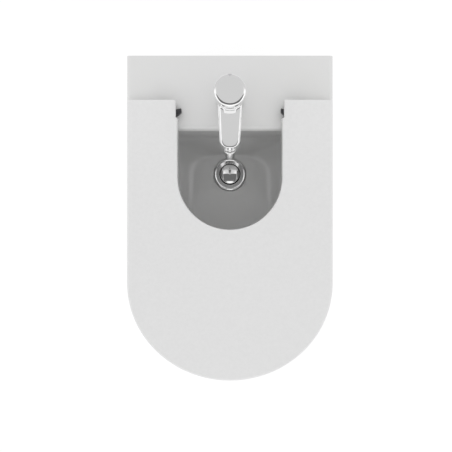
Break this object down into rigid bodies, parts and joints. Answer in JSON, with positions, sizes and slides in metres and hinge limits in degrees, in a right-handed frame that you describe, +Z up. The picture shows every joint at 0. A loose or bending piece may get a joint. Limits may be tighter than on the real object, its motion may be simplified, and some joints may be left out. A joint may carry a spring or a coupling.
{
  "type": "floor-standing bidet",
  "caption": "Back-to-wall bidet with a hinged U-shaped cover, a single-lever tap with a swivel nozzle and a pop-up waste.",
  "frame": {"origin": "on the floor, in the middle of the ceramic body's width and depth", "axes": "+Z up, +Y towards the wall, +X to the right as the tap's user faces the wall"},
  "size_m": [0.35, 0.55, 0.513],
  "materials": {
    "vitreous_china": "glossy glaze",
    "cover_plastic": "satin gloss",
    "chrome": "polished chrome plate",
    "hinge_metal": "dark satin",
    "steel": "plain steel",
    "brass": "turned",
    "black_rubber": "matt",
    "grey_rubber": "matt",
    "white_plastic": "matt",
    "grey_plastic": "matt"
  },
  "bodies": {
    "base": {"ceramic_body": "vitreous_china", "overflow_ring": "chrome", "hinge_base_left": "hinge_metal", "hinge_base_right": "hinge_metal", "hinge_studs": "steel", "hinge_rubber_washers": "black_rubber", "hinge_wing_nuts": "white_plastic", "hinge_pins": "steel", "tap_gasket": "black_rubber", "tap_base_ring": "chrome", "tap_body": "chrome", "nozzle_collar": "chrome", "cartridge_housing": "white_plastic", "cartridge_nut": "brass", "dome_ring": "chrome", "tap_stud": "steel", "tap_rubber_washer": "black_rubber", "tap_horseshoe_washer": "steel", "tap_stud_nut": "brass", "water_inlets": "brass", "pivot_nut": "chrome", "waste_flange": "chrome", "flange_seal": "black_rubber", "waste_gasket": "black_rubber", "waste_lock_nut": "chrome", "waste_tee": "chrome", "tailpiece": "chrome", "trap_body": "chrome", "trap_cup": "chrome", "trap_inlet_nut": "chrome", "trap_outlet_nut": "chrome", "trap_outlet_pipe": "chrome", "wall_rosette": "chrome", "floor_brackets": "steel", "side_screws": "steel", "side_caps": "white_plastic"},
    "cover": {"cover": "cover_plastic", "cover_buffers": "grey_rubber", "hinge_arm_left": "chrome", "hinge_arm_right": "chrome", "hinge_arm_screws": "steel"},
    "turret": {"cartridge_turret": "white_plastic", "stem_pin": "steel"},
    "handle": {"cartridge_stem": "steel", "handle": "chrome", "handle_grub_screw": "steel", "index_plug": "grey_plastic"},
    "nozzle_seat": {"nozzle_seat": "white_plastic"},
    "nozzle": {"nozzle": "chrome", "nozzle_aerator": "grey_plastic"},
    "lift_rod": {"lift_rod": "chrome", "lift_knob": "chrome", "linkage_strap": "steel", "strap_thumbscrew": "chrome"},
    "pivot_rod": {"pivot_rod": "steel"},
    "plug": {"waste_plug": "chrome", "plug_seal": "black_rubber"}
  },
  "joints": [
    {"name": "cover_hinge", "type": "hinge", "parent": "base", "child": "cover", "pos_m": [0, 0.186, 0.414], "axis": [-1, 0, 0], "range_deg": [0, 95]},
    {"name": "handle_turn", "type": "hinge", "parent": "base", "child": "turret", "pos_m": [0, 0.196, 0.466], "axis": [0, 0, 1], "range_deg": [-45, 45]},
    {"name": "handle_lift", "type": "hinge", "parent": "turret", "child": "handle", "pos_m": [0, 0.196, 0.466], "axis": [-1, 0, 0], "range_deg": [0, 20]},
    {"name": "nozzle_turn", "type": "hinge", "parent": "base", "child": "nozzle_seat", "pos_m": [0, 0.118, 0.46], "axis": [0, -0.7071, -0.7071], "continuous": true},
    {"name": "nozzle_tilt", "type": "hinge", "parent": "nozzle_seat", "child": "nozzle", "pos_m": [0, 0.118, 0.46], "axis": [1, 0, 0], "range_deg": [-15, 15]},
    {"name": "lift_rod_slide", "type": "slide", "parent": "base", "child": "lift_rod", "axis": [0, 0.1942, 0.981], "range_m": [0, 0.016]},
    {"name": "pivot_rod_swing", "type": "hinge", "parent": "base", "child": "pivot_rod", "pos_m": [0, 0.111, 0.146], "axis": [1, 0, 0], "range_deg": [0, 16.1]},
    {"name": "plug_slide", "type": "slide", "parent": "base", "child": "plug", "axis": [0, 0, 1], "range_m": [-0.007, 0]}
  ],
  "couplings": [
    {"joint": "pivot_rod_swing", "follows": "lift_rod_slide", "rad_per_m": 17.558},
    {"joint": "plug_slide", "follows": "lift_rod_slide", "ratio": -0.4375}
  ]
}
